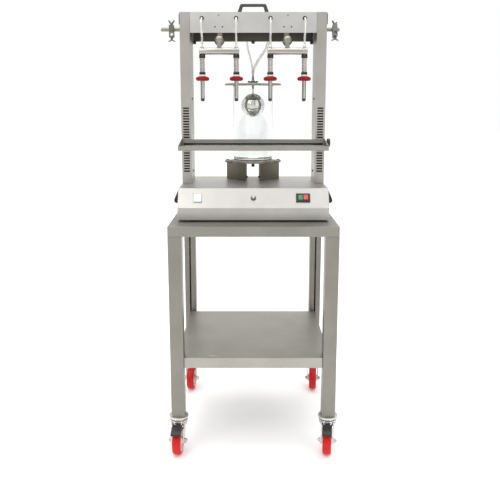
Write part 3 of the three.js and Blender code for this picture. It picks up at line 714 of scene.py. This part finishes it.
# ---------------------------------------------------------------- portal details


COLUMN_INNER = 238
COLUMN_MIDDLE = 256.5
COLUMN_OUTER = 275
BEAM_FRONT = -2
ROD_Y = 64
ROD_Z = 1552


def make_carry_handle():
    half = [
        (44, 37.8), (50, 35), (53, 26), (58, 6), (59.8, 3), (59.8, 0.2), (45, 0.2), (44, 12), (42, 28),
        (38, 31),
    ]
    outline = half + [(-x, z) for x, z in reversed(half)]
    place = placed(0, ROD_Y, 1607.3)
    piece = prism("bridge_handle", outline, -9.8, 9.8, "XZ", 1.8, BLACK_SOFT, "root", place)
    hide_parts("carry_handle")


def make_side_rods():
    for name, side, length in (("left", -1, 78), ("right", 1, 56)):
        sleeve = [(0, 0), (7.3, 0), (7.3, length - 2), (6.6, length - 0.4), (0, length - 0.2)]
        end = at(side * (COLUMN_OUTER + 0.2), ROD_Y, ROD_Z)
        lathe(f"side_rod_{name}", sleeve, STEEL_DARK_REFLECTION, "root", end, (side, 0, 0))


def make_grommets():
    grommet = [(3.9, 0), (6.4, 0), *arc(6.2, 1.6, 1.8, -60, 90, 5), (5, 3.2), (3.9, 2.6)]
    for number, x in enumerate(GROMMET_X, 1):
        place = at(x, BEAM_FRONT, GROMMET_Z)
        lathe(f"hose_grommet_{number}", grommet, RUBBER, "root", place, (0, -1, 0), 32)
    for name, x, radius, rise in (("thin", -24, THIN_HOSE, 150), ("thick", 61, THICK_HOSE, 155)):
        ring = [(radius + 0.2, 0), (radius + 3.5, 0), (radius + 3.5, 2), (radius + 1.5, 4), (radius + 0.2, 4)]
        place = at(x, 134.1, LID_BARB_TOP + rise)
        lathe(f"rear_grommet_{name}", ring, RUBBER, "root", place, (0, 1, 0), 32)


def make_portal_details():
    forward = (0, -1, 0)
    for name, side in SIDES:
        for lead, x in (("inner", 115), ("outer", 143)):
            screw_head(f"beam_screw_{name}_{lead}", at(side * x, BEAM_FRONT, 1554), forward, 2.8, BLACK_AND_SHADE)
        screw_head(f"beam_screw_{name}_upper", at(side * 129, BEAM_FRONT, 1595), forward, 3.2, STEEL_RING)
        # Black blocks at the lower ends of the beam's back wall: painted shade in the inner corners next to
        # the columns.
        shade_corner = placed(side * 231, 128, 1510)
        rounded_box(f"beam_corner_shade_{name}", (-6, -3, -6), (6, 3, 6), 1, BLACK_AND_SHADE, "root", shade_corner)
        for level, z in (("upper", 1292), ("lower", 1011)):
            place = at(side * COLUMN_INNER, 62, z)
            screw_head(f"column_screw_{name}_{level}", place, (-side, 0, 0), 4, BLACK_AND_SHADE)
        # Dark strip along the outer edge of each column near the top.
        edge = [(0, 1560), (2.6, 1566), (2.6, 1600), (0, 1604)]
        outline = [(side * (COLUMN_OUTER + 0.1 + x), z) for x, z in edge]
        prism(f"edge_dark_strip_{name}", outline, -4, 8, "XZ", 0.3, HOLE, "root", placed())
        rail = placed(side * COLUMN_MIDDLE)
        rounded_box(f"slot_rail_{name}", (-15, -3, 1000), (15, -1.5, 1270), 0.5, HOLE, "root", rail)
    # Dark sheet on the inner face of the beam's back wall: painted shade inside the open-bottomed beam.
    rounded_box("beam_painted_shade", (-236, 128, 1515), (236, 130.5, 1600), 0.5, STEEL_BLACKENED_AND_SHADE, "root", placed())
    cap = [(0, 0), (5, 0), (7, 2), (7, 8), (5, 11), (0, 12)]
    lathe("beam_cap", cap, BLACK_AND_SHADE, "root", at(0, 126, 1517), (0, 0, -1), 32)


make_carry_handle()
make_side_rods()
make_grommets()
make_portal_details()


# ---------------------------------------------------------------- base details


def panel_matrix():
    """Frame on the slanted panel: local Z points out of it, local Y up the slope."""
    run, rise = 43, 67
    return Matrix.Translation(at(0, -176.5, 933.5)) @ Matrix.Rotation(math.atan2(rise, run), 4, "X")


def make_base_details():
    place = panel_matrix()
    knob = [
        (0, -10), (3, -10), (3, 0.8), (6.6, 0.8), (7.3, 1.6), (7.3, 8.6), *arc(0, 6.5, 7.3, 25, 85, 6),
        (0, 13.9),
    ]
    dial = lathe_in("speed_knob", knob, CHROME, "dial", place, 48)
    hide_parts("control_knob")
    lathe_in("knob_collar", [(3.2, 0), (10, 0), (10, 0.5), (9.4, 0.9), (3.2, 0.9)], BLACK_AND_SHADE, "root", place, 48)
    rounded_box("rocker_bezel", (-219.5, -19, 0), (-186.5, 19, 0.4), 0.15, BEZEL, "root", place)
    clamp = [
        (0, 0), (6, 0), (6, 7.7), (14.5, 7.7), (16, 8.6), (16.5, 10.5), (16.5, 16.5), (15, 19.4), (8, 20.4),
        (0, 20.7),
    ]
    knob_piece = lathe("clamp_knob", clamp, BLACK_AND_SHADE, "shelf_clamp", at(274.3, -20, 1125), (1, 0, 0), 48)
    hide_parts("shelf_knob")
    rounded_box("shelf_strip", (-268, -11.3, 1116.2), (268, -9.6, 1123.8), 0.3, RUBBER, "shelf", placed())
    for name, side in SIDES:
        screw_head(f"stand_bolt_{name}", at(side * 25, 89, 983), (0, -1, 0), 4.5, BLACK_AND_SHADE)
    inlet = placed(-180, 265, 890)
    rounded_box("inlet_body", (-15, 0, -24), (15, 3.5, 24), 1.2, BLACK_AND_SHADE, "root", inlet)
    rounded_box("inlet_recess", (-10, 3.2, -14), (10, 4.2, 8), 0.4, HOLE, "root", inlet)
    for number, x in enumerate((-4.5, 0, 4.5), 1):
        rounded_box(f"inlet_pin_{number}", (x - 1, 4, -5), (x + 1, 5.4, 1), 0.3, POLISHED, "root", inlet)
    for row in range(6):
        vent = placed(120, 265, 880 + row * 9)
        rounded_box(f"rear_vent_{row + 1}", (-40, 0, -1.5), (40, 0.6, 1.5), 0.25, HOLE, "root", vent)


def make_trolley_details():
    for corner in CORNERS:
        leg_low, leg_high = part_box(f"cart_leg_{corner}")
        toward = 1 if "front" in corner else -1
        x = (leg_low.x + leg_high.x) / 2
        y = (leg_low.y + leg_high.y) / 2 + toward * 24 * MM
        screw_head(f"leg_screw_{corner}", Vector((x, y, 0.345)), (0, toward, 0), 4, BLACK_AND_SHADE)


make_base_details()
make_trolley_details()


# ---------------------------------------------------------------- stage


def make_stage():
    material, tree, shader = blank_material("floor")
    tint = ramp(tree, noise(tree, 2), srgb(250, 250, 250), srgb(254, 254, 254))
    tree.links.new(tint.outputs["Color"], shader.inputs["Base Color"])
    shader.inputs["Roughness"].default_value = 0.7
    tree.links.new(tint.outputs["Color"], shader.inputs["Emission Color"])
    shader.inputs["Emission Strength"].default_value = 0.16
    built = bmesh.new()
    bmesh.ops.create_grid(built, x_segments=1, y_segments=1, size=30)
    floor = from_bmesh("floor", built, material, None)
    make_world()


def smooth_step(tree, value, start, end, low, high):
    node = tree.nodes.new("ShaderNodeMapRange")
    node.interpolation_type = "SMOOTHSTEP"
    for socket, number in {"From Min": start, "From Max": end, "To Min": low, "To Max": high}.items():
        node.inputs[socket].default_value = number
    tree.links.new(value, node.inputs["Value"])
    return node.outputs["Result"]


def calculate(tree, operation, *values):
    node = tree.nodes.new("ShaderNodeMath")
    node.operation = operation
    for index, value in enumerate(values):
        tree.links.new(value, node.inputs[index])
    return node.outputs["Value"]


def make_world():
    """White backdrop, with mirrored light that is bright above and behind and darkest at the sides."""
    world = bpy.data.worlds.new("studio")
    bpy.context.scene.world = world
    world.use_nodes = True
    tree = world.node_tree
    place = tree.nodes.new("ShaderNodeTexCoord")
    parts = tree.nodes.new("ShaderNodeSeparateXYZ")
    tree.links.new(place.outputs["Generated"], parts.inputs["Vector"])
    sideways = calculate(tree, "ABSOLUTE", parts.outputs["X"])
    flags = smooth_step(tree, sideways, 0.45, 0.8, 0.66, 0.25)
    ceiling = smooth_step(tree, parts.outputs["Z"], 0.3, 0.85, 0.0, 0.75)
    behind = smooth_step(tree, parts.outputs["Y"], 0.1, 0.6, 1.0, 1.2)
    total = calculate(tree, "ADD", calculate(tree, "MULTIPLY", flags, behind), ceiling)
    surroundings = tree.nodes["Background"]
    tree.links.new(total, surroundings.inputs["Strength"])
    surroundings.inputs["Color"].default_value = (1, 1, 1, 1)
    backdrop = tree.nodes.new("ShaderNodeBackground")
    backdrop.inputs["Color"].default_value = (1, 1, 1, 1)
    rays = tree.nodes.new("ShaderNodeLightPath")
    direct = calculate(tree, "MAXIMUM", rays.outputs["Is Camera Ray"], rays.outputs["Is Transmission Ray"])
    mix = tree.nodes.new("ShaderNodeMixShader")
    tree.links.new(direct, mix.inputs["Fac"])
    tree.links.new(surroundings.outputs["Background"], mix.inputs[1])
    tree.links.new(backdrop.outputs["Background"], mix.inputs[2])
    tree.links.new(mix.outputs["Shader"], tree.nodes["World Output"].inputs["Surface"])
    bpy.context.scene.view_settings.view_transform = "Standard"


def area_light(name, place, target, size, power):
    data = bpy.data.lights.new(name, "AREA")
    data.shape = "RECTANGLE"
    data.size, data.size_y = size
    data.energy = power
    light = bpy.data.objects.new(name, data)
    light.location = place
    light.rotation_euler = (target - place).to_track_quat("-Z", "Y").to_euler()
    bpy.context.scene.collection.objects.link(light)


def make_lights():
    target = at(0, 0, 1000)
    area_light("key", at(-1500, -1800, 2900), target, (1.6, 1.6), 18)
    area_light("fill", at(1700, -1500, 2200), target, (1.6, 2.2), 8)
    area_light("top", at(0, 300, 3200), target, (2.2, 2.2), 30)


make_stage()
make_lights()
